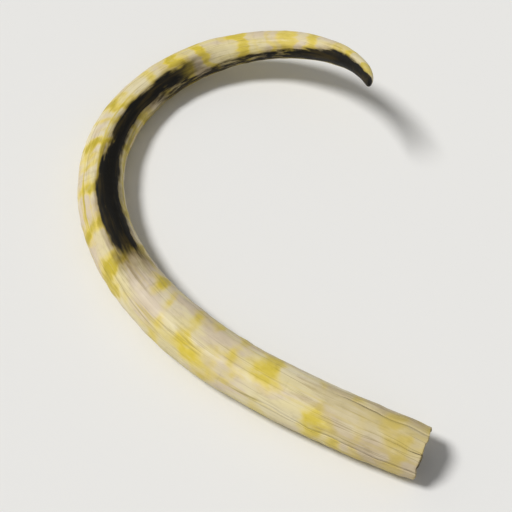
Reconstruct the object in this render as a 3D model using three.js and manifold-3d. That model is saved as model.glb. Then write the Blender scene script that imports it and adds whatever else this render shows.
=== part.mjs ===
// A mammoth tusk lying on its outer side: one piece of ivory that grew in a rising spiral.
// Millimetres, +Z up. The origin is under the middle of the tusk, on the surface it lies on.
// The hollow root opens towards +X. Seen from above, the tusk runs towards -X, swings round
// clockwise ever more tightly, and climbs off the surface to its tip.
import * as THREE from "three";
import { mergeVertices } from "three/addons/utils/BufferGeometryUtils.js";
import Module from "manifold-3d";

// Driving dimensions of the curve
const PLAN_LENGTH = 2650; // root to tip along the curve, seen from above
const TURN = THREE.MathUtils.degToRad(255); // change of heading from root to tip
const TIP_RISE = 270; // climb of the centreline from where it leaves the surface to the tip
const RISE_START = 0.63; // share of the length that lies down before the climb

// Driving dimensions of the body
const GIRTH_RADIUS = 76; // mean radius of the thickest part
const ROOT_NARROWING = 0.07; // share of the radius lost at the root's edge
const ROOT_NARROWING_SPAN = 0.05; // share of the length over which most of that is regained
const OVAL = 0.03; // the section is this share wider, and as much flatter, than a circle
const REST_DEPTH = 2; // depth of the slice lost where the tusk lies flat

// Driving dimensions of the hollow root
const CAVITY_DEPTH = 420;
const ROOT_WALL = 12; // ivory left round the mouth of the hollow
const CAVITY_POWER = 1.25; // 1 is a straight cone, and more is fuller near the mouth

// Mesh density
const STATIONS = 72; // rings of the outside, closer together towards the tip
const CAVITY_STATIONS = 12;
const SEGMENTS = 36; // round each ring
const PLAN_STEPS = 200; // steps that add up the spiral
const MERGE_DISTANCE = 1e-3;

const UP = new THREE.Vector3(0, 0, 1);
const IVORY = { name: "ivory", color: 0xd9d0ae, roughness: 0.5, metalness: 0 };

// Mean radius of the outside at share t of the length from the root
function outerRadius(t) {
  const taper = Math.sqrt(Math.max(0, 1 - t * t));
  return GIRTH_RADIUS * taper * (1 - ROOT_NARROWING * Math.exp(-t / ROOT_NARROWING_SPAN));
}

// The centreline: straight at the root, and bending evenly more towards the tip
class TuskCurve extends THREE.Curve {
  getPoint(t, target = new THREE.Vector3()) {
    const step = t / PLAN_STEPS;
    target.set(0, 0, 0);
    for (let i = 0; i < PLAN_STEPS; i++) {
      const heading = Math.PI - TURN * ((i + 0.5) * step) ** 2;
      target.x += Math.cos(heading) * step * PLAN_LENGTH;
      target.y += Math.sin(heading) * step * PLAN_LENGTH;
    }
    const lying = Math.min(t, RISE_START);
    const climb = (t - lying) / (1 - RISE_START);
    target.z = outerRadius(lying) * (1 - OVAL) - REST_DEPTH + TIP_RISE * climb ** 2;
    return target;
  }
}

// Half of the straight tusk's outline: down the hollow's wall, over the edge and along to the tip
function halfOutline() {
  const mouth = outerRadius(0) - ROOT_WALL;
  const points = [];
  for (let i = CAVITY_STATIONS; i >= 0; i--) {
    const depth = i / CAVITY_STATIONS;
    points.push(new THREE.Vector2(mouth * (1 - depth ** CAVITY_POWER), depth * CAVITY_DEPTH));
  }
  for (let i = 0; i < STATIONS; i++) {
    const t = Math.sin(((i / STATIONS) * Math.PI) / 2);
    points.push(new THREE.Vector2(outerRadius(t), t * PLAN_LENGTH));
  }
  points.push(new THREE.Vector2(0, PLAN_LENGTH));
  return points;
}

// Lays a body that was turned about +Y along the curve, and makes its section oval
function bendAlong(geometry, curve) {
  const position = geometry.getAttribute("position");
  const local = new THREE.Vector3();
  for (let i = 0; i < position.count; i++) {
    local.fromBufferAttribute(position, i);
    const t = local.y / PLAN_LENGTH;
    const tangent = curve.getTangent(t);
    const side = UP.clone().cross(tangent).normalize();
    const over = tangent.clone().cross(side);
    const placed = curve
      .getPoint(t)
      .addScaledVector(over, local.x * (1 - OVAL))
      .addScaledVector(side, local.z * (1 + OVAL));
    position.setXYZ(i, placed.x, placed.y, placed.z);
  }
  return geometry;
}

// A closed geometry as a solid for cutting
function toSolid(wasm, geometry) {
  const bare = geometry.clone();
  bare.deleteAttribute("normal");
  bare.deleteAttribute("uv");
  const merged = mergeVertices(bare, MERGE_DISTANCE);
  return new wasm.Manifold(
    new wasm.Mesh({
      numProp: 3,
      vertProperties: merged.getAttribute("position").array,
      triVerts: new Uint32Array(merged.index.array),
    }),
  );
}

// A solid as a geometry
function toGeometry(solid) {
  const mesh = solid.getMesh();
  const geometry = new THREE.BufferGeometry();
  geometry.setAttribute("position", new THREE.BufferAttribute(mesh.vertProperties, 3));
  geometry.setIndex(new THREE.BufferAttribute(mesh.triVerts, 1));
  geometry.computeVertexNormals();
  return geometry;
}

// The tusk, with its underside sliced flat where it lies on the surface
function makeTusk(wasm) {
  const turned = new THREE.LatheGeometry(halfOutline(), SEGMENTS);
  const bent = bendAlong(turned, new TuskCurve());
  const size = 2 * PLAN_LENGTH;
  const ground = new THREE.BoxGeometry(size, size, size).translate(0, 0, -size / 2);
  const geometry = toGeometry(toSolid(wasm, bent).subtract(toSolid(wasm, ground)));
  const tusk = new THREE.Mesh(geometry, new THREE.MeshStandardMaterial(IVORY));
  tusk.name = "tusk";
  return tusk;
}

const wasm = await Module();
wasm.setup();

const tusk = makeTusk(wasm);
tusk.geometry.computeBoundingBox();
const middle = tusk.geometry.boundingBox.getCenter(new THREE.Vector3());
tusk.position.set(-middle.x, -middle.y, 0);

const part = new THREE.Group();
part.add(tusk);

export default part;
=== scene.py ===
"""The looks of a mammoth tusk: one piece of ivory, modelled straight and then bent along its spiral.

Metres, +Z up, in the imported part's own frame. The straight tusk, called the blank here, lies along +X
with its hollow root at x = 0. Its +Z side ends up on top and its -Y side inside the bend.
"""

import math
from typing import NamedTuple

import bmesh
import bpy
import numpy as np
from mathutils import Color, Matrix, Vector


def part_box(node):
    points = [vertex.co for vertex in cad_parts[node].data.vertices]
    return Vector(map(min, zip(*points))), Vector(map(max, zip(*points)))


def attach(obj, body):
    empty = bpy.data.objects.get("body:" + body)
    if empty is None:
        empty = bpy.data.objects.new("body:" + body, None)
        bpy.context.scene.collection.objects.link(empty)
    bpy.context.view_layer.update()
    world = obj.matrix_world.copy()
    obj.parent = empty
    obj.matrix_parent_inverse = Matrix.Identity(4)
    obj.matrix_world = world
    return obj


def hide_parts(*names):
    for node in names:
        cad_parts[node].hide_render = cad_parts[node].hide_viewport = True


bl_info = {
    "name": "Mammoth tusk",
    "version": (1, 0, 0),
    "blender": (4, 5, 0),
    "location": "View3D > Sidebar > Tusk",
    "description": "Models a mammoth tusk in ivory and sets it on a pale floor",
    "category": "Object",
}

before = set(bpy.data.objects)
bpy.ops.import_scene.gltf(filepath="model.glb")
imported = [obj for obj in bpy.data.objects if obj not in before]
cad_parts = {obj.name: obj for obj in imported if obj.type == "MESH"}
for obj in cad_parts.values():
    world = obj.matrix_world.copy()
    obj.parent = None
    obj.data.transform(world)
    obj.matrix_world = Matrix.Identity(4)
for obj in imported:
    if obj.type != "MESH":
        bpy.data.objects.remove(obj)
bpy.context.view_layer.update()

ROOT_BODY = "root"
TUSK_NODE = "tusk"


class ReliefPattern(NamedTuple):
    """A cloudy pattern for relief: its stretch along x, y and z, its features' size and its layers."""

    name: str
    stretch: tuple
    feature: float
    layers: int = 1


class Pattern(NamedTuple):
    """A noise pattern with so many features a metre along and across the grain."""

    along: float
    across: float
    offset: float = 0.0
    detail: float = 3.0
    roughness: float = 0.55


class Ease(NamedTuple):
    """A smooth change from least to most, while the value that it follows goes from start to end."""

    start: float
    end: float
    least: float = 0.0
    most: float = 1.0


# Mesh density of the blank
RING_POINTS = 24
OUTSIDE_RINGS = 150
HOLLOW_RINGS = 14
SMOOTHING_LEVEL = 2
SPIRAL_STEPS = 480

# A smoothed ring of RING_POINTS is smaller than the ring it came from, so rings start this much larger
RING_GROWTH = 6.0 / (4.0 + 2.0 * math.cos(2.0 * math.pi / RING_POINTS))

# Where the rounded corners of the rim pass, as shares of its radius from the end and from the wall
RIM_CORNER_FROM_END = 0.25
RIM_CORNER_FROM_WALL = 0.3

# Drying checks: the ring point that each starts from, and its reach along the outside
CHECKS = ((1, 0.44), (4, 0.17), (7, 0.30), (11, 0.12), (14, 0.36), (19, 0.21), (22, 0.13))
CHECK_REACH_INSIDE = 0.4  # share of that reach on the hollow's wall
CHECK_TAPER = 0.6  # power by which a check gets shallower along its reach
CHECK_RIM_DEPTH = 2.0  # depth of the notch in the rim, in depths of the check
CHECK_ENDING = 0.25  # share of its reach, at the far end, over which the points it drew in go back

# How far, in points of the smoothed ring, a check draws its neighbours in
CHECK_DRAW_STEPS = (0.0, 1.0, 2.0, 3.0, 4.0)
CHECK_DRAW_SHARES = (0.0, 1.0, 0.5, 0.2, 0.0)

# How a check wanders from a straight line, by two waves
CHECK_SWAY = 0.0035
CHECK_SWAY_LENGTH = 0.19
SECOND_SWAY = 0.4  # size of the second wave, as a share of the first
SECOND_SWAY_RATE = 2.3  # its waves to each of the first
SWAY_ONSET = 0.05  # distance from the root's edge at which half of the sway is reached
SWAY_BREADTH = math.radians(30.0)  # the sway dies out this far round the tusk from the check
SWAY_ENDING = 1.0 / 3.0  # share of the check's reach, at the far end, over which it straightens
LEAST_SWAY_RADIUS = 0.02  # nearer the middle than this, the sway makes no larger an angle

# Relief of the outside, at full depth where the blank's radius is at least this
FULL_RELIEF_RADIUS = 0.06
SWELLINGS = ReliefPattern("swellings", (3.0, 1.0, 1.0), 0.09)
FLUTES = ReliefPattern("flutes", (28.0, 1.0, 1.0), 0.022, layers=2)
GROWTH_RINGS = ReliefPattern("growth rings", (1.0, 14.0, 14.0), 0.045)
RIM_WEAR = ReliefPattern("rim wear", (6.0, 1.0, 1.0), 0.05, layers=2)
RIM_WEAR_LEVEL = 0.25  # value of the pattern at which the rim stays where it was

# Below, patterns and edges of the finish. Values that follow the length are metres from the root
NOISE_MIDDLE = 0.5  # mean value of a noise pattern
BEND_START = Ease(0.7, 1.1)
BEND_END = Ease(2.0, 1.6)

# Ground colour
PALE_CLOUDS = Pattern(2.2, 12.0)
PALE_EDGE = Ease(0.42, 0.68)
BLUSH_CLOUDS = Pattern(5.0, 15.0, offset=3.7)
BLUSH_EDGE = Ease(0.44, 0.60, most=0.8)

# Yellow bands, which turn into patches towards the root
BANDS_A_METRE = 13.0
BAND_DETAIL = 1.0
BAND_LEAN = 0.35
BAND_SWAY = 0.09
BAND_SWAYING = Pattern(8.0, 30.0, offset=8.1, detail=4.0, roughness=0.5)
PATCHES = Pattern(12.0, 12.0, offset=5.3, detail=2.0, roughness=0.45)
BANDS_OVER_PATCHES = Ease(1.0, 1.7, 0.35, 0.8)
BAND_EDGE = 0.45
PATCH_FULL = 0.66
BAND_FULL = 0.57
BAND_CLOUDS = Pattern(4.0, 9.0, offset=6.1)
BAND_STRENGTH = (0.54, 1.125)

# Mustard hearts of the bands, which are deepest in the bend
HEART_BREAKING = Pattern(14.0, 60.0, offset=7.3, detail=4.0)
HEART_BREAKS = 0.3
HEART_EDGE = Ease(0.53, 0.64)
HEART_STRENGTH = (0.25, 0.75)

# Yellow streaks along the grain, and their hearts
STREAKS = Pattern(2.4, 62.0, offset=1.9)
STREAK_EDGE = Ease(0.53, 0.64, most=0.75)
STREAK_HEART_EDGE = Ease(0.58, 0.68, most=0.7)
STREAK_STRENGTH = (0.25, 0.9)

# Edge of the dark stain and painted shade: what its fraying adds to its closeness and, at its ends, to the
# length
RAGGED_FRAY = Pattern(5.0, 80.0, offset=6.6, detail=5.0)
PATCHY_FRAY = Pattern(9.0, 22.0, offset=2.2, detail=3.0)
SIDE_RAGGED = 0.22
SIDE_PATCHY = 0.36
END_RAGGED = 0.10
END_PATCHY = 0.16

# Dark run inside the bend, a stain that is partly painted shade. Its bearing is the angle of its middle
# above level, and its closeness is the cosine of the angle from there
RUN_BEARING = Ease(0.9, 1.7, math.radians(78.0), math.radians(44.0))
RUN_BROADENING = Ease(1.40, 1.05, most=0.09)
RUN_START = Ease(0.95, 1.02)
RUN_END = Ease(1.98, 1.80)
RUN_EDGE = Ease(0.88, 0.965)
RUN_HALO_START = Ease(0.88, 0.98)
RUN_HALO_END = Ease(2.04, 1.76)
RUN_HALO_EDGE = Ease(0.74, 0.94, most=0.75)

# Tail of the dark run, stain and painted shade along the inner side, which widens and wraps round the tip
TAIL_BEARING = Ease(2.15, 2.5, math.radians(-8.0), math.radians(14.0))
TAIL_WIDENING = Ease(2.1, 2.6, most=0.30)
TAIL_WRAPPING = Ease(2.61, 2.70, most=2.0)
TAIL_FLECKING = Pattern(16.0, 110.0, offset=4.9, detail=6.0, roughness=0.65)
TAIL_FLECKS = 0.45
TAIL_START = Ease(1.55, 1.80)
TAIL_EDGE = Ease(0.88, 1.02)
TAIL_HALO_EDGE = Ease(0.66, 0.98, most=0.6)

# Where the dark stain and painted shade is thin and lets the ochre through
THIN_STAIN_AND_SHADE = Pattern(7.0, 70.0, offset=5.9, detail=5.0)
THIN_STAIN_AND_SHADE_EDGE = Ease(0.45, 0.70, most=0.14)

# Hair-fine dry cracks, as the edges of long cells
HAIRLINE_CELLS = Pattern(1.3, 48.0, offset=0.7)
HAIRLINE_EDGE = Ease(0.028, 0.004)
HAIRLINE_CLOUDS = Pattern(2.4, 14.0, offset=9.4)
HAIRLINE_CLOUD_EDGE = Ease(0.50, 0.62)
HAIRLINES_ALONG = Ease(1.3, 0.2, 0.5, 1.0)
HAIRLINE_TINT = 0.6
HAIRLINE_HEIGHT = -0.8

# Growth lines round the tusk
RINGS_A_METRE = 60.0
RING_DETAIL = 2.0
RING_SWAY = 0.05
RING_SWAYING = Pattern(8.0, 24.0, offset=1.7, detail=5.0)
RING_CLOUDS = Pattern(6.0, 11.0, offset=7.1)
RING_CLOUD_EDGE = Ease(0.44, 0.62)
RING_TINT = Ease(0.04, 0.22, most=0.10)
RING_HEIGHT = 0.6

# Dull outer layer that is left near the root
BARK_RAGGED_EDGE = Pattern(3.5, 42.0, offset=3.3, detail=5.0, roughness=0.6)
BARK_PATCHY_EDGE = Pattern(4.0, 10.0, offset=1.1)
BARK_RAGGED = 0.7
BARK_PATCHY = 0.5
BARK_EDGE = Ease(0.27, 0.20)
BARK_TINT = 0.45
BARK_HEIGHT = 0.9
BARK_ROUGHNESS = 0.18

# Deeper mustard tint of the side that lies on the ground, partly the ivory's colour and partly painted
# shade
UNDERSIDE_BEARING = math.radians(-90.0)
UNDERSIDE_STREAKING = Pattern(6.0, 34.0, offset=9.9, detail=5.0)
UNDERSIDE_STREAKS = 0.9
UNDERSIDE_EDGE = Ease(-0.05, 0.75, most=0.7)

# Hollow of the root, told from the outside by its radius, and the old soil in it
HOLLOW_RADIUS = Ease(0.0665, 0.0600)
HOLLOW_END = Ease(0.46, 0.44)
HOLLOW_ROUGHNESS = 0.40
SOIL_CLOUDS = Pattern(9.0, 22.0, offset=4.4, detail=5.0)
SOIL_EDGE = Ease(0.35, 0.7, most=0.5)
SOIL_DEEPENING = Ease(0.0, 0.22, most=0.5)
SOIL_STRENGTH = (0.6, 1.0)
CHECK_SOIL = Ease(0.15, 0.8)

# Growth layers, as thin lines round the end of the root
LAYERS_A_METRE = 620.0
LAYER_DETAIL = 2.0
LAYER_EDGE = Ease(0.50, 0.62)
LAYER_REACH = Ease(0.004, 0.001)
LAYER_TINT = 0.55
LAYER_HEIGHT = -0.7

# Fine grain and mottling all over, and the polish
STRIAE = Pattern(4.0, 190.0, offset=2.9, detail=4.0, roughness=0.6)
STRIAE_TINT = Ease(0.54, 0.72, most=0.34)
MOTTLING = Pattern(22.0, 60.0, offset=7.7, detail=6.0, roughness=0.65)
DARK_MOTTLES = Ease(0.50, 0.72, most=0.16)
PALE_MOTTLES = Ease(0.48, 0.30, most=0.22)
POLISH_ROUGHNESS = (0.30, 0.52)
# Roughness added on the dark stain and painted shade
STAIN_AND_SHADE_ROUGHNESS = 0.22
BUMP_STRENGTH = 0.55
BUMP_DISTANCE = 0.0012
SPECULAR_LEVEL = 0.24

# Sockets of a Mix node that mixes colours
MIX_SHARE = 0
MIX_UNDER = 6
MIX_OVER = 7
MIX_RESULT = 2

# Lights: name, the way that each comes from, its width in degrees, and its strength
LIGHTS = (
    ("key", (-3.4, -1.6, 6.2), 16.0, 2.5),
    ("fill", (4.6, -3.2, 3.2), 60.0, 0.2),
)
FLOOR_ROUGHNESS = 0.9
CAMERA_FIRST_DISTANCE = 4.0
CAMERA_FRAMING_ROUNDS = 8


def tone(red, green, blue):
    """A colour picked on a 0 to 255 scale, as the linear values that the shader needs."""
    return tuple(Color((red / 255.0, green / 255.0, blue / 255.0)).from_srgb_to_scene_linear())


def number_property(name, description, default, **settings):
    return bpy.props.FloatProperty(name=name, description=description, default=default, **settings)


def length_property(name, description, default):
    return number_property(name, description, default, unit="LENGTH", precision=4)


def share_property(name, description, default):
    return number_property(name, description, default, min=0.0, max=1.0, subtype="FACTOR")


def angle_property(name, description, degrees):
    return number_property(name, description, math.radians(degrees), subtype="ANGLE")


def colour_property(name, description, default):
    return bpy.props.FloatVectorProperty(
        name=name, description=description, default=default, min=0.0, max=1.0, size=3, subtype="COLOR"
    )


class TuskShape(bpy.types.PropertyGroup):
    """Sizes of the ivory"""

    plan_length: length_property("Plan length", "Root to tip along the curve, seen from above", 2.65)
    turn: angle_property("Turn", "Change of heading from root to tip", 255.0)
    tip_rise: length_property("Tip rise", "Climb from where the tusk leaves the floor to the tip", 0.27)
    rise_start: share_property("Rise start", "Share of the length that lies down before the climb", 0.63)
    girth_radius: length_property("Girth radius", "Mean radius of the thickest part", 0.076)
    root_narrowing: share_property("Root narrowing", "Share of the radius lost at the root's edge", 0.07)
    narrowing_span: share_property("Narrowing span", "Share of the length that regains most of it", 0.05)
    oval: share_property("Oval", "Share by which the section is wider than a circle", 0.03)
    rest_depth: length_property("Rest depth", "Depth of the slice lost where the tusk lies flat", 0.002)
    hollow_depth: length_property("Hollow depth", "Depth of the hollow in the root", 0.42)
    root_wall: length_property("Root wall", "Ivory left round the mouth of the hollow", 0.012)
    hollow_power: number_property("Hollow fullness", "1 is a cone, and more is fuller near the mouth", 1.25)
    rim_round: length_property("Rim rounding", "Radius worn on the root's edge", 0.0045)
    grain_twist: angle_property("Grain twist", "Turn of the grain round the tusk, root to tip", 75.0)


class TuskRelief(bpy.types.PropertyGroup):
    """Depths of the surface relief"""

    swell: length_property("Swelling", "Height of broad, uneven swellings", 0.007)
    flute: length_property("Flutes", "Depth of the shallow grooves along the grain", 0.0042)
    ring: length_property("Growth rings", "Depth of the waves that each season left", 0.0042)
    wear: length_property("Rim wear", "Depth of the uneven wear of the root's edge", 0.022)
    wear_reach: length_property("Wear reach", "How far from the root's edge that wear goes", 0.09)
    check_depth: length_property("Drying checks", "Depth of the splits from the root's edge", 0.005)
    check_width: length_property("Check width", "Half the width of a split at the root's edge", 0.0013)


class TuskColours(bpy.types.PropertyGroup):
    """Colours of the ivory"""

    cream: colour_property("Cream", "Main colour of the ivory", tone(222, 208, 158))
    pale: colour_property("Pale ivory", "Lightest, polished stretches", tone(230, 219, 186))
    blush: colour_property("Blush", "Pinkish cream clouds", tone(208, 191, 169))
    yellow: colour_property("Yellow", "Bands of stained growth", tone(226, 202, 68))
    # Mustard also tints the underside, partly as painted shade
    mustard: colour_property("Mustard", "Heart of the bands, and the underside", tone(178, 159, 30))
    bark: colour_property("Bark", "Dull outer layer that is left near the root", tone(184, 164, 120))
    # Ochre also edges the dark stain and painted shade
    ochre: colour_property("Ochre", "Edge of the stain and painted shade, and dry hairlines", tone(120, 99, 34))
    # Dark stain and painted shade inside the bend and along the tail
    stain_and_shade: colour_property("Stain and shade", "Dark stain and painted shade inside the bend", tone(13, 11, 6))
    earth: colour_property("Earth", "Old soil in the hollow and the splits", tone(66, 50, 32))


class TuskStage(bpy.types.PropertyGroup):
    """Floor, lights and camera"""

    floor_size: length_property("Floor size", "Side of the square floor", 40.0)
    floor_colour: colour_property("Floor", "Colour of the floor", tone(236, 235, 232))
    sky_colour: colour_property("Sky", "Even light from all round", (1.0, 1.0, 1.0))
    sky_strength: number_property("Sky strength", "Strength of that light", 0.24)
    backdrop_strength: number_property("Backdrop strength", "Brightness of the sky in the picture", 0.78)
    camera_azimuth: angle_property("Camera azimuth", "Round the tusk from the side that faces -Y", 24.0)
    camera_elevation: angle_property("Camera elevation", "Above the horizon", 55.0)
    camera_lens: number_property("Lens", "Focal length of the camera", 85.0, unit="CAMERA")
    frame_fill: share_property("Frame fill", "Share of the picture's side that the tusk takes", 0.88)


def deselect_all():
    if bpy.context.object and bpy.context.object.mode != "OBJECT":
        bpy.ops.object.mode_set(mode="OBJECT")
    bpy.ops.object.select_all(action="DESELECT")


def pick(piece):
    """Selects this piece and nothing else, and makes it the active one."""
    deselect_all()
    piece.select_set(True)
    bpy.context.view_layer.objects.active = piece


def apply_modifier(piece, kind, **settings):
    """Adds a modifier, sets it and applies it."""
    pick(piece)
    bpy.ops.object.modifier_add(type=kind)
    modifier = piece.modifiers[-1]
    for name, value in settings.items():
        setattr(modifier, name, value)
    bpy.ops.object.modifier_apply(modifier=modifier.name)


def points_of(mesh):
    """Where the mesh's points are, one row each."""
    spots = np.zeros(len(mesh.vertices) * 3, np.float32)
    mesh.vertices.foreach_get("co", spots)
    return spots.reshape(-1, 3).astype(float)


# The spiral

def outer_radius(shape, share):
    """Mean radius of the outside at a share of the length from the root."""
    taper = math.sqrt(max(0.0, 1.0 - share * share))
    narrowing = shape.root_narrowing * math.exp(-share / shape.narrowing_span)
    return shape.girth_radius * taper * (1.0 - narrowing)


def spiral_points(shape):
    """The centreline from root to tip: straight at the root, and bending evenly more towards the tip."""
    points = []
    spot = Vector((0.0, 0.0, 0.0))
    step = 1.0 / SPIRAL_STEPS
    for index in range(SPIRAL_STEPS + 1):
        share = index * step
        lying = min(share, shape.rise_start)
        climb = (share - lying) / (1.0 - shape.rise_start)
        rest_height = outer_radius(shape, lying) * (1.0 - shape.oval) - shape.rest_depth
        points.append(Vector((spot.x, spot.y, rest_height + shape.tip_rise * climb ** 2)))
        heading = math.pi - shape.turn * (share + step / 2.0) ** 2
        spot += Vector((math.cos(heading), math.sin(heading), 0.0)) * step * shape.plan_length
    return points


def run_lengths(points):
    """Length along the points up to each of them."""
    lengths = [0.0]
    for near, far in zip(points, points[1:]):
        lengths.append(lengths[-1] + (far - near).length)
    return lengths


def length_at(lengths, share):
    """Length along the spiral at a share of its steps."""
    return float(np.interp(share * SPIRAL_STEPS, range(len(lengths)), lengths))


# The straight blank

def blank_outline(shape, lengths):
    """Half of the blank's outline as (x, radius): out of the hollow, over the rim and along to the tip."""
    outer = outer_radius(shape, 0.0)
    mouth = outer - shape.root_wall
    edge = shape.rim_round
    outline = []
    for index in range(HOLLOW_RINGS - 1, 0, -1):
        depth = index / HOLLOW_RINGS
        outline.append((depth * shape.hollow_depth, mouth * (1.0 - depth ** shape.hollow_power)))
    outline.append((edge, mouth))
    outline.append((edge * RIM_CORNER_FROM_END, mouth + edge * RIM_CORNER_FROM_WALL))
    outline.append((0.0, mouth + edge))
    outline.append((0.0, outer - edge))
    outline.append((edge * RIM_CORNER_FROM_END, outer - edge * RIM_CORNER_FROM_WALL))
    outline.append((edge, outer))
    for index in range(1, OUTSIDE_RINGS):
        share = math.sin(index / OUTSIDE_RINGS * math.pi / 2.0)
        outline.append((length_at(lengths, share), outer_radius(shape, share)))
    return outline


def close_ring(reach):
    """Draws the selected ring together into one point, so far along the axis."""
    bpy.ops.mesh.extrude_edges_move(TRANSFORM_OT_translate={"value": (reach, 0.0, 0.0)})
    bpy.ops.mesh.merge(type="CENTER")


def select_points(piece, chosen):
    """In edit mode, selects the points with these numbers and nothing else."""
    bpy.ops.mesh.select_all(action="DESELECT")
    grid = bmesh.from_edit_mesh(piece.data)
    grid.verts.ensure_lookup_table()
    for index in chosen:
        grid.verts[index].select = True
    grid.select_flush(True)
    bmesh.update_edit_mesh(piece.data)


def make_blank(shape, lengths):
    """A ring deep in the hollow, drawn out ring by ring over the rim and along to the tip."""
    outline = blank_outline(shape, lengths)
    first_x, first_radius = outline[0]
    last_x = outline[-1][0]
    deselect_all()
    bpy.ops.mesh.primitive_circle_add(
        vertices=RING_POINTS,
        radius=first_radius * RING_GROWTH,
        location=(first_x, 0.0, 0.0),
        rotation=(0.0, math.pi / 2.0, 0.0),
    )
    piece = bpy.context.object
    piece.name = "tusk_ivory"
    piece.data.name = "tusk_ivory"
    bpy.ops.object.transform_apply(location=True, rotation=True, scale=True)
    bpy.ops.object.mode_set(mode="EDIT")
    bpy.ops.mesh.select_mode(type="EDGE")
    bpy.ops.mesh.select_all(action="SELECT")
    for (near_x, near_radius), (far_x, far_radius) in zip(outline, outline[1:]):
        bpy.ops.mesh.extrude_edges_move(TRANSFORM_OT_translate={"value": (far_x - near_x, 0.0, 0.0)})
        growth = far_radius / near_radius
        bpy.ops.transform.resize(value=(1.0, growth, growth), center_override=(far_x, 0.0, 0.0))
    close_ring(lengths[-1] - last_x)
    select_points(piece, range(RING_POINTS))
    close_ring(shape.hollow_depth - first_x)
    bpy.ops.mesh.select_all(action="SELECT")
    bpy.ops.mesh.normals_make_consistent(inside=False)
    bpy.ops.object.mode_set(mode="OBJECT")
    apply_modifier(piece, "SUBSURF", levels=SMOOTHING_LEVEL, render_levels=SMOOTHING_LEVEL)
    return piece


def keep_places(piece, name):
    """Keeps where each point now is, for the ivory's pattern to follow after the bend."""
    kept = piece.data.attributes.new(name, "FLOAT_VECTOR", "POINT")
    kept.data.foreach_set("vector", points_of(piece.data).astype(np.float32).ravel())


# Relief

def check_sway(x, radius, away, left, ring_point):
    """The angle by which a check and the points near it wander, from a phase of the check's own."""
    phase = 2.0 * math.pi * x / CHECK_SWAY_LENGTH + ring_point
    waves = np.sin(phase) + SECOND_SWAY * np.sin(SECOND_SWAY_RATE * phase)
    sway = CHECK_SWAY * waves * x / (x + SWAY_ONSET)
    near = np.cos(np.clip(away / SWAY_BREADTH, -1.0, 1.0) * math.pi / 2.0) ** 2
    going_on = np.clip(left / SWAY_ENDING, 0.0, 1.0)
    return sway * near * going_on / np.maximum(radius, LEAST_SWAY_RADIUS)


def open_check(spots, shape, relief, ring_point, reach):
    """Opens one check from the root's edge: moves the points, and returns how far each is in it."""
    x = spots[:, 0]
    radius = np.hypot(spots[:, 1], spots[:, 2])
    bearing = np.arctan2(spots[:, 2], spots[:, 1])
    start = 2.0 * math.pi * ring_point / RING_POINTS
    spacing = 2.0 * math.pi / (RING_POINTS * 2 ** SMOOTHING_LEVEL)
    away = (bearing - start + math.pi) % (2.0 * math.pi) - math.pi
    half_wall = shape.root_wall / 2.0
    mid_wall = outer_radius(shape, 0.0) - half_wall
    side = np.clip((radius - mid_wall) / half_wall, -1.0, 1.0)
    reach_here = np.where(side < 0.0, reach * CHECK_REACH_INSIDE, reach)
    left = np.clip(1.0 - x / reach_here, 0.0, 1.0)
    in_line = (np.abs(away) < spacing / 2.0) * left ** CHECK_TAPER
    draw = np.interp(np.abs(away) / spacing, CHECK_DRAW_STEPS, CHECK_DRAW_SHARES)
    draw *= np.clip(left / CHECK_ENDING, 0.0, 1.0)
    gap = relief.check_width * left / np.maximum(radius, relief.check_width)
    pull = -np.sign(away) * draw * np.maximum(spacing - gap, 0.0)
    turned = bearing + pull + check_sway(x, radius, away, left, ring_point)
    sunk = radius - side * relief.check_depth * in_line
    notch = (1.0 - np.abs(side)) * CHECK_RIM_DEPTH * relief.check_depth * in_line
    spots[:, 0] = x + notch * (x < shape.rim_round)
    spots[:, 1] = sunk * np.cos(turned)
    spots[:, 2] = sunk * np.sin(turned)
    return in_line


def open_checks(piece, shape, relief):
    """Drying checks: narrow splits that run in from the root's edge."""
    spots = points_of(piece.data)
    depth = np.zeros(len(spots))
    for ring_point, reach in CHECKS:
        depth = np.maximum(depth, open_check(spots, shape, relief, ring_point, reach))
    piece.data.vertices.foreach_set("co", spots.astype(np.float32).ravel())
    kept = piece.data.attributes.new("check", "FLOAT", "POINT")
    kept.data.foreach_set("value", depth.astype(np.float32))
    piece.data.update()


def raise_relief(piece, pattern, height, **settings):
    """Raises and sinks the surface by a cloudy pattern."""
    texture = bpy.data.textures.new(pattern.name, "CLOUDS")
    texture.noise_scale = pattern.feature
    texture.noise_depth = pattern.layers
    deselect_all()
    bpy.ops.object.empty_add(location=(0.0, 0.0, 0.0))
    ruler = bpy.context.object
    ruler.scale = pattern.stretch
    bpy.context.view_layer.update()
    apply_modifier(
        piece, "DISPLACE", texture=texture, texture_coords="OBJECT", texture_coords_object=ruler,
        strength=height, **settings
    )
    bpy.data.objects.remove(ruler)
    bpy.data.textures.remove(texture)


def weigh(piece, name, shares):
    """A vertex group with a share for each point, eased in and out."""
    kept = np.clip(shares, 0.0, 1.0)
    smooth = kept ** 2 * (3.0 - 2.0 * kept)
    group = piece.vertex_groups.new(name=name)
    for index in np.flatnonzero(smooth > 0.0).tolist():
        group.add([index], smooth[index], "REPLACE")
    return group.name


def shape_surface(piece, relief):
    """Swellings, flutes and growth rings, which die away on the slender tip, and wear of the rim."""
    spots = points_of(piece.data)
    body = weigh(piece, "body", np.hypot(spots[:, 1], spots[:, 2]) / FULL_RELIEF_RADIUS)
    rim = weigh(piece, "rim", 1.0 - spots[:, 0] / relief.wear_reach)
    raise_relief(piece, SWELLINGS, relief.swell, vertex_group=body)
    raise_relief(piece, FLUTES, relief.flute, vertex_group=body)
    raise_relief(piece, GROWTH_RINGS, relief.ring, vertex_group=body)
    raise_relief(piece, RIM_WEAR, relief.wear, direction="X", mid_level=RIM_WEAR_LEVEL, vertex_group=rim)
    piece.vertex_groups.clear()


# Bending the blank

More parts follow.
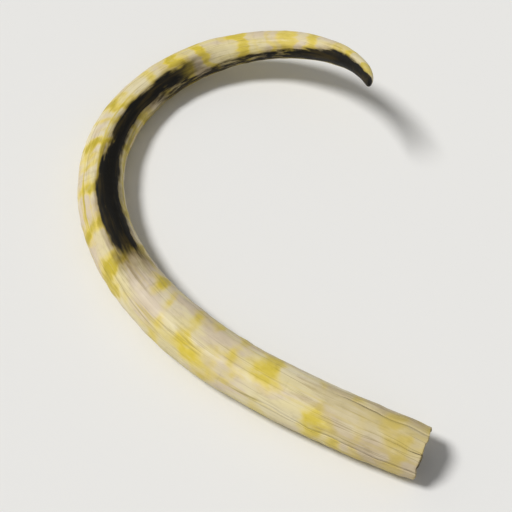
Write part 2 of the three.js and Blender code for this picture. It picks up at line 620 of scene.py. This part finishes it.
def make_spiral(points):
    """The guide that the blank is bent along."""
    line = bpy.data.curves.new("spiral", "CURVE")
    line.dimensions = "3D"
    line.twist_mode = "Z_UP"
    run = line.splines.new("POLY")
    run.points.add(len(points) - 1)
    for spot, point in zip(run.points, points):
        spot.co = (*point, 1.0)
    guide = bpy.data.objects.new("spiral", line)
    bpy.context.scene.collection.objects.link(guide)
    return guide


def reshape(piece, chosen, transform, **settings):
    """Runs a transform operator on the points with these numbers."""
    pick(piece)
    bpy.ops.object.mode_set(mode="EDIT")
    bpy.ops.mesh.select_mode(type="VERT")
    select_points(piece, chosen)
    transform(**settings)
    bpy.ops.object.mode_set(mode="OBJECT")


def resize_points(piece, chosen, scale):
    """Scales the points with these numbers about the origin."""
    reshape(piece, chosen, bpy.ops.transform.resize, value=scale, center_override=(0.0, 0.0, 0.0))


def widen_section(piece, oval):
    """Makes the round section wider than it is high."""
    resize_points(piece, range(len(piece.data.vertices)), (1.0, 1.0 + oval, 1.0 - oval))


def lay_flat(piece):
    """Flattens what lies below the floor, where the tusk rests."""
    below = np.flatnonzero(points_of(piece.data)[:, 2] < 0.0).tolist()
    resize_points(piece, below, (1.0, 1.0, 0.0))


def bring_to_node(piece):
    """Moves the bent tusk, inside its mesh, to the middle of the node that it stands for."""
    low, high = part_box(TUSK_NODE)
    spots = points_of(piece.data)
    middle = (spots.min(axis=0) + spots.max(axis=0)) / 2.0
    shift = (low + high) / 2.0 - Vector(middle.tolist())
    reshape(piece, range(len(spots)), bpy.ops.transform.translate, value=(shift.x, shift.y, 0.0))


# Nodes

def add_node(tree, kind, inputs=None, **settings):
    """Adds a node, sets it, and links or fills its inputs."""
    made = tree.nodes.new(kind)
    for name, value in settings.items():
        setattr(made, name, value)
    for name, value in (inputs or {}).items():
        if isinstance(value, bpy.types.NodeSocket):
            tree.links.new(value, made.inputs[name])
        else:
            made.inputs[name].default_value = value
    return made


def read_attribute(tree, name):
    return add_node(tree, "ShaderNodeAttribute", attribute_name=name).outputs


def split(tree, vector):
    return add_node(tree, "ShaderNodeSeparateXYZ", {0: vector}).outputs


def maths(tree, operation, first, second=0.0):
    return add_node(tree, "ShaderNodeMath", {0: first, 1: second}, operation=operation).outputs[0]


def times(tree, first, second):
    return maths(tree, "MULTIPLY", first, second)


def plus(tree, first, second):
    return maths(tree, "ADD", first, second)


def greater(tree, first, second):
    return maths(tree, "MAXIMUM", first, second)


def eased(tree, value, ease):
    """A value's smooth change from least to most."""
    inputs = {
        "Value": value,
        "From Min": ease.start,
        "From Max": ease.end,
        "To Min": ease.least,
        "To Max": ease.most,
    }
    made = add_node(tree, "ShaderNodeMapRange", inputs, interpolation_type="SMOOTHSTEP")
    return made.outputs["Result"]


def spread(tree, value, low, high):
    """A 0 to 1 value spread evenly from low to high."""
    inputs = {"Value": value, "To Min": low, "To Max": high}
    return add_node(tree, "ShaderNodeMapRange", inputs).outputs["Result"]


def lines_across(tree, value, a_metre, detail):
    """Uneven lines that follow one another as a value grows, so many a metre."""
    inputs = {"W": value, "Scale": a_metre, "Detail": detail}
    return add_node(tree, "ShaderNodeTexNoise", inputs, noise_dimensions="1D").outputs["Fac"]


def shade(colour):
    """A colour as a node takes it: a socket as it is, and three values with a fourth for opacity."""
    if isinstance(colour, bpy.types.NodeSocket):
        return colour
    return (*colour, 1.0)


def blend(tree, share, under, over):
    """Colour under, covered by colour over to a share."""
    inputs = {MIX_SHARE: share, MIX_UNDER: shade(under), MIX_OVER: shade(over)}
    return add_node(tree, "ShaderNodeMix", inputs, data_type="RGBA").outputs[MIX_RESULT]


def new_material(name):
    material = bpy.data.materials.new(name)
    material.use_nodes = True
    return material, material.node_tree.nodes["Principled BSDF"]


class Grain:
    """What the ivory's patterns follow: the blank's coordinates before the twist and before the bend."""

    def __init__(self, tree):
        self.tree = tree
        self.spot = read_attribute(tree, "grain")["Vector"]
        self.check = read_attribute(tree, "check")["Fac"]
        parts = split(tree, self.spot)
        self.along = parts["X"]
        self.across = parts["Y"]
        section = {0: self.spot, 1: (0.0, 1.0, 1.0)}
        flat = add_node(tree, "ShaderNodeVectorMath", section, operation="MULTIPLY").outputs[0]
        self.radius = add_node(tree, "ShaderNodeVectorMath", {0: flat}, operation="LENGTH").outputs["Value"]
        place = split(tree, read_attribute(tree, "place")["Vector"])
        self.bearing = maths(tree, "ARCTAN2", place["Z"], times(tree, place["Y"], -1.0))
        self.bending = times(tree, eased(tree, self.along, BEND_START), eased(tree, self.along, BEND_END))

    def drawn(self, pattern):
        """The grain's coordinates, scaled to a pattern's features."""
        inputs = {
            "Vector": self.spot,
            "Location": (pattern.offset, pattern.offset, pattern.offset),
            "Scale": (pattern.along, pattern.across, pattern.across),
        }
        return add_node(self.tree, "ShaderNodeMapping", inputs).outputs["Vector"]

    def clouds(self, pattern):
        """A cloudy pattern from 0 to 1."""
        inputs = {
            "Vector": self.drawn(pattern),
            "Scale": 1.0,
            "Detail": pattern.detail,
            "Roughness": pattern.roughness,
        }
        return add_node(self.tree, "ShaderNodeTexNoise", inputs).outputs["Fac"]

    def swing(self, pattern):
        """A cloudy pattern that swings about 0."""
        return plus(self.tree, self.clouds(pattern), -NOISE_MIDDLE)

    def towards(self, above):
        """1 where the surface faces into the bend at this angle above level, and -1 on the far side."""
        return maths(self.tree, "COSINE", maths(self.tree, "SUBTRACT", self.bearing, above))


# Ivory

def ground_colour(tree, grain, colours):
    """Cream ivory with paler clouds and pinkish ones, drawn out along the grain."""
    pale = eased(tree, grain.clouds(PALE_CLOUDS), PALE_EDGE)
    blush = eased(tree, grain.clouds(BLUSH_CLOUDS), BLUSH_EDGE)
    tint = blend(tree, pale, colours.cream, colours.pale)
    return blend(tree, blush, tint, colours.blush)


def band_shares(tree, grain):
    """Yellow growth, in patches towards the root and in bands towards the tip, and the heart of each."""
    leaning = plus(tree, grain.along, times(tree, grain.across, BAND_LEAN))
    swaying = plus(tree, leaning, times(tree, grain.clouds(BAND_SWAYING), BAND_SWAY))
    bands = lines_across(tree, swaying, BANDS_A_METRE, BAND_DETAIL)
    banded = eased(tree, grain.along, BANDS_OVER_PATCHES)
    wave = spread(tree, banded, grain.clouds(PATCHES), bands)
    full = spread(tree, banded, PATCH_FULL, BAND_FULL)
    strength = spread(tree, grain.clouds(BAND_CLOUDS), *BAND_STRENGTH)
    yellow = times(tree, eased(tree, wave, Ease(BAND_EDGE, full)), strength)
    broken = plus(tree, wave, times(tree, grain.swing(HEART_BREAKING), HEART_BREAKS))
    deep = spread(tree, grain.bending, *HEART_STRENGTH)
    return yellow, times(tree, eased(tree, broken, HEART_EDGE), deep)


def streak_shares(tree, grain):
    """Yellow streaks along the grain, most of them in the bend, and the heart of each."""
    streaks = grain.clouds(STREAKS)
    strength = spread(tree, grain.bending, *STREAK_STRENGTH)
    yellow = times(tree, eased(tree, streaks, STREAK_EDGE), strength)
    return yellow, times(tree, eased(tree, streaks, STREAK_HEART_EDGE), strength)


def run_shares(tree, grain, frayed, length):
    """The dark run inside the bend, a stain that is partly painted shade, and the ochre round it."""
    bearing = eased(tree, grain.along, RUN_BEARING)
    broad = eased(tree, grain.along, RUN_BROADENING)
    closeness = plus(tree, grain.towards(bearing), plus(tree, frayed, broad))
    stretch = times(tree, eased(tree, length, RUN_START), eased(tree, length, RUN_END))
    dark = times(tree, eased(tree, closeness, RUN_EDGE), stretch)
    stretch = times(tree, eased(tree, length, RUN_HALO_START), eased(tree, length, RUN_HALO_END))
    return dark, times(tree, eased(tree, closeness, RUN_HALO_EDGE), stretch)


def tail_shares(tree, grain, frayed, length):
    """The run's tail of stain and painted shade, which widens and wraps round the tip, and the ochre round
    it.
    """
    bearing = eased(tree, grain.along, TAIL_BEARING)
    wider = plus(tree, eased(tree, grain.along, TAIL_WIDENING), eased(tree, grain.along, TAIL_WRAPPING))
    flecked = plus(tree, frayed, times(tree, grain.swing(TAIL_FLECKING), TAIL_FLECKS))
    closeness = plus(tree, plus(tree, grain.towards(bearing), flecked), wider)
    start = eased(tree, length, TAIL_START)
    dark = times(tree, eased(tree, closeness, TAIL_EDGE), start)
    return dark, times(tree, eased(tree, closeness, TAIL_HALO_EDGE), start)


def stain_and_shade_shares(tree, grain):
    """The dark stain and painted shade with its frayed edge, and the ochre round it."""
    ragged = grain.swing(RAGGED_FRAY)
    patchy = grain.swing(PATCHY_FRAY)
    frayed = plus(tree, times(tree, ragged, SIDE_RAGGED), times(tree, patchy, SIDE_PATCHY))
    shifted = plus(tree, times(tree, ragged, END_RAGGED), times(tree, patchy, END_PATCHY))
    length = plus(tree, grain.along, shifted)
    run, run_halo = run_shares(tree, grain, frayed, length)
    tail, tail_halo = tail_shares(tree, grain, frayed, length)
    return greater(tree, run, tail), greater(tree, run_halo, tail_halo)


def hairline_share(tree, grain):
    """Hair-fine dry cracks along the grain, most of them towards the root."""
    inputs = {"Vector": grain.drawn(HAIRLINE_CELLS), "Scale": 1.0}
    cells = add_node(tree, "ShaderNodeTexVoronoi", inputs, feature="DISTANCE_TO_EDGE")
    lines = eased(tree, cells.outputs["Distance"], HAIRLINE_EDGE)
    sparse = eased(tree, grain.clouds(HAIRLINE_CLOUDS), HAIRLINE_CLOUD_EDGE)
    return times(tree, times(tree, lines, sparse), eased(tree, grain.along, HAIRLINES_ALONG))


def ring_lines(tree, grain):
    """Fine growth lines round the tusk, a centimetre or two apart, that come and go about 0."""
    swaying = plus(tree, grain.along, times(tree, grain.clouds(RING_SWAYING), RING_SWAY))
    lines = plus(tree, lines_across(tree, swaying, RINGS_A_METRE, RING_DETAIL), -NOISE_MIDDLE)
    return times(tree, lines, eased(tree, grain.clouds(RING_CLOUDS), RING_CLOUD_EDGE))


def bark_share(tree, grain):
    """What is left of the dull outer layer near the root, with a ragged edge drawn out along the grain."""
    ragged = times(tree, grain.swing(BARK_RAGGED_EDGE), BARK_RAGGED)
    patchy = times(tree, grain.swing(BARK_PATCHY_EDGE), BARK_PATCHY)
    return eased(tree, plus(tree, grain.along, plus(tree, ragged, patchy)), BARK_EDGE)


def underside_tint_and_shade(tree, grain):
    """A deeper mustard tint on the side that faces the ground, partly colour and partly painted shade,
    drawn up along the grain.
    """
    streaky = times(tree, grain.swing(UNDERSIDE_STREAKING), UNDERSIDE_STREAKS)
    return eased(tree, plus(tree, grain.towards(UNDERSIDE_BEARING), streaky), UNDERSIDE_EDGE)


def hollow_share(tree, grain):
    """1 in the hollow of the root and 0 on the outside."""
    return times(tree, eased(tree, grain.radius, HOLLOW_RADIUS), eased(tree, grain.along, HOLLOW_END))


def soil_share(tree, grain):
    """Old soil in the hollow, thicker deep inside."""
    clouds = eased(tree, grain.clouds(SOIL_CLOUDS), SOIL_EDGE)
    thickness = plus(tree, clouds, eased(tree, grain.along, SOIL_DEEPENING))
    return spread(tree, thickness, *SOIL_STRENGTH)


def layer_share(tree, grain):
    """The layers that the tusk grew in, as thin lines round the end of the root."""
    lines = lines_across(tree, grain.radius, LAYERS_A_METRE, LAYER_DETAIL)
    return times(tree, eased(tree, lines, LAYER_EDGE), eased(tree, grain.along, LAYER_REACH))


class Finish:
    """The features of the finish that the ivory's colour, roughness and fine relief share."""

    def __init__(self, tree, grain):
        # Dark stain and painted shade, and its ochre edge
        self.stain_and_shade, self.halo = stain_and_shade_shares(tree, grain)
        self.hairlines = hairline_share(tree, grain)
        self.rings = ring_lines(tree, grain)
        self.bark = bark_share(tree, grain)
        self.hollow = hollow_share(tree, grain)
        self.layers = layer_share(tree, grain)
        self.striae = grain.clouds(STRIAE)
        self.mottling = grain.clouds(MOTTLING)


def ivory_colour(tree, grain, finish, colours):
    """The ground colour under all that covers it, each in turn to its share."""
    bands, band_hearts = band_shares(tree, grain)
    streaks, streak_hearts = streak_shares(tree, grain)
    outside = maths(tree, "SUBTRACT", 1.0, finish.hollow)
    thin = eased(tree, grain.clouds(THIN_STAIN_AND_SHADE), THIN_STAIN_AND_SHADE_EDGE)
    covers = (
        (streaks, colours.yellow),
        (bands, colours.yellow),
        (greater(tree, band_hearts, streak_hearts), colours.mustard),
        # Painted shade, with some real tint, on the side that faces down
        (times(tree, underside_tint_and_shade(tree, grain), outside), colours.mustard),
        (times(tree, finish.bark, BARK_TINT), colours.bark),
        (eased(tree, finish.striae, STRIAE_TINT), colours.ochre),
        (eased(tree, finish.rings, RING_TINT), colours.ochre),
        (eased(tree, finish.mottling, DARK_MOTTLES), colours.ochre),
        (eased(tree, finish.mottling, PALE_MOTTLES), colours.pale),
        (finish.halo, colours.ochre),
        # Dark stain and painted shade inside the bend, thin in places over ochre
        (finish.stain_and_shade, blend(tree, thin, colours.stain_and_shade, colours.ochre)),
        (times(tree, finish.hairlines, HAIRLINE_TINT), colours.ochre),
        (times(tree, finish.layers, LAYER_TINT), colours.ochre),
        (times(tree, finish.hollow, soil_share(tree, grain)), colours.earth),
        (eased(tree, grain.check, CHECK_SOIL), colours.earth),
    )
    colour = ground_colour(tree, grain, colours)
    for share, cover in covers:
        colour = blend(tree, share, colour, cover)
    return colour


def ivory_roughness(tree, finish):
    """A mottled polish, duller on the outer layer, on the dark stain and painted shade, and in the hollow.
    """
    roughness = spread(tree, finish.mottling, *POLISH_ROUGHNESS)
    for share, added in (
        (finish.bark, BARK_ROUGHNESS),
        (finish.stain_and_shade, STAIN_AND_SHADE_ROUGHNESS),
        (finish.hollow, HOLLOW_ROUGHNESS),
    ):
        roughness = plus(tree, roughness, times(tree, share, added))
    return roughness


def ivory_normal(tree, finish):
    """Relief too fine for the mesh: the grain, cracks, growth lines and the edges of layers."""
    height = finish.striae
    for share, added in (
        (finish.hairlines, HAIRLINE_HEIGHT),
        (finish.bark, BARK_HEIGHT),
        (finish.rings, RING_HEIGHT),
        (finish.layers, LAYER_HEIGHT),
    ):
        height = plus(tree, height, times(tree, share, added))
    inputs = {"Height": height, "Strength": BUMP_STRENGTH, "Distance": BUMP_DISTANCE}
    return add_node(tree, "ShaderNodeBump", inputs).outputs["Normal"]


def ivory_material(colours):
    material, shader = new_material("ivory")
    tree = material.node_tree
    grain = Grain(tree)
    finish = Finish(tree, grain)
    tree.links.new(ivory_colour(tree, grain, finish, colours), shader.inputs["Base Color"])
    tree.links.new(ivory_roughness(tree, finish), shader.inputs["Roughness"])
    tree.links.new(ivory_normal(tree, finish), shader.inputs["Normal"])
    shader.inputs["Specular IOR Level"].default_value = SPECULAR_LEVEL
    return material


class TUSK_OT_ivory(bpy.types.Operator):
    """Models the ivory: straight first, with its relief, then bent along the spiral"""

    bl_idname = "tusk.ivory"
    bl_label = "Ivory tusk"

    def execute(self, context):
        shape = context.scene.tusk_shape
        relief = context.scene.tusk_relief
        points = spiral_points(shape)
        lengths = run_lengths(points)
        piece = make_blank(shape, lengths)
        keep_places(piece, "grain")
        open_checks(piece, shape, relief)
        shape_surface(piece, relief)
        apply_modifier(
            piece, "SIMPLE_DEFORM", deform_method="TWIST", deform_axis="X", angle=shape.grain_twist
        )
        widen_section(piece, shape.oval)
        keep_places(piece, "place")
        guide = make_spiral(points)
        apply_modifier(piece, "CURVE", object=guide, deform_axis="POS_X")
        bpy.data.objects.remove(guide)
        lay_flat(piece)
        bring_to_node(piece)
        pick(piece)
        bpy.ops.object.shade_smooth()
        piece.data.materials.append(ivory_material(context.scene.tusk_colours))
        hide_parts(TUSK_NODE)
        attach(piece, ROOT_BODY)
        return {"FINISHED"}


# Stage

def make_floor(stage):
    deselect_all()
    bpy.ops.mesh.primitive_plane_add(size=stage.floor_size, location=(0.0, 0.0, 0.0))
    floor = bpy.context.object
    floor.name = "floor"
    material, shader = new_material("floor")
    shader.inputs["Base Color"].default_value = shade(stage.floor_colour)
    shader.inputs["Roughness"].default_value = FLOOR_ROUGHNESS
    floor.data.materials.append(material)


def light_sky(stage):
    """Even light from all round, with a brightness of its own where the camera sees it."""
    world = bpy.data.worlds.new("sky")
    world.use_nodes = True
    sky = world.node_tree.nodes["Background"]
    sky.inputs["Color"].default_value = shade(stage.sky_colour)
    in_picture = add_node(world.node_tree, "ShaderNodeLightPath").outputs["Is Camera Ray"]
    strength = spread(world.node_tree, in_picture, stage.sky_strength, stage.backdrop_strength)
    world.node_tree.links.new(strength, sky.inputs["Strength"])
    bpy.context.scene.world = world


def hang_light(name, spot, width, strength):
    """A broad light, as even over the floor as over the tusk."""
    deselect_all()
    bpy.ops.object.light_add(type="SUN", location=spot)
    lamp = bpy.context.object
    lamp.name = name
    lamp.data.angle = math.radians(width)
    lamp.data.energy = strength
    lamp.rotation_euler = (-Vector(spot)).to_track_quat("-Z", "Y").to_euler()


def aim_camera(stage):
    """A camera that looks down on the tusk and holds it in the middle of a square picture."""
    azimuth = stage.camera_azimuth
    elevation = stage.camera_elevation
    level = math.cos(elevation)
    back = Vector((math.sin(azimuth) * level, -math.cos(azimuth) * level, math.sin(elevation)))
    deselect_all()
    bpy.ops.object.camera_add()
    camera = bpy.context.object
    camera.data.lens = stage.camera_lens
    camera.rotation_euler = (-back).to_track_quat("-Z", "Y").to_euler()
    bpy.context.view_layer.update()
    axes = np.array(camera.matrix_world.to_3x3())
    half = camera.data.sensor_width / 2.0 / camera.data.lens
    spots = points_of(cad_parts[TUSK_NODE].data)
    aim = spots.mean(axis=0)
    distance = CAMERA_FIRST_DISTANCE
    for _ in range(CAMERA_FRAMING_ROUNDS):
        seen = (spots - aim - axes[:, 2] * distance) @ axes
        flat = seen[:, :2] / -seen[:, 2:]
        low = flat.min(axis=0)
        high = flat.max(axis=0)
        aim = aim + axes[:, :2] @ ((low + high) / 2.0) * distance
        distance *= (high - low).max() / (2.0 * half * stage.frame_fill)
    camera.location = aim + axes[:, 2] * distance
    bpy.context.scene.camera = camera


class TUSK_OT_stage(bpy.types.Operator):
    """Sets the tusk on a pale floor, under soft light, before the camera"""

    bl_idname = "tusk.stage"
    bl_label = "Stage"

    def execute(self, context):
        stage = context.scene.tusk_stage
        make_floor(stage)
        light_sky(stage)
        for name, spot, width, strength in LIGHTS:
            hang_light(name, spot, width, strength)
        aim_camera(stage)
        context.scene.view_settings.view_transform = "Standard"
        return {"FINISHED"}


class VIEW3D_PT_tusk(bpy.types.Panel):
    """Lists the tusk's sizes and colours and the steps that make it"""

    bl_label = "Mammoth tusk"
    bl_idname = "VIEW3D_PT_tusk"
    bl_space_type = "VIEW_3D"
    bl_region_type = "UI"
    bl_category = "Tusk"

    def draw(self, context):
        for settings, step in (
            (("tusk_shape", "tusk_relief", "tusk_colours"), TUSK_OT_ivory),
            (("tusk_stage",), TUSK_OT_stage),
        ):
            box = self.layout.box()
            for name in settings:
                group = getattr(context.scene, name)
                for key in group.__annotations__:
                    box.prop(group, key)
            box.operator(step.bl_idname)


CLASSES = (TuskShape, TuskRelief, TuskColours, TuskStage, TUSK_OT_ivory, TUSK_OT_stage, VIEW3D_PT_tusk)
SETTINGS = {
    "tusk_shape": TuskShape,
    "tusk_relief": TuskRelief,
    "tusk_colours": TuskColours,
    "tusk_stage": TuskStage,
}


def register():
    for made in CLASSES:
        bpy.utils.register_class(made)
    for name, group in SETTINGS.items():
        setattr(bpy.types.Scene, name, bpy.props.PointerProperty(type=group))


def unregister():
    for name in SETTINGS:
        delattr(bpy.types.Scene, name)
    for made in reversed(CLASSES):
        bpy.utils.unregister_class(made)


def main():
    register()
    bpy.ops.tusk.ivory()
    bpy.ops.tusk.stage()


if __name__ == "__main__":
    main()
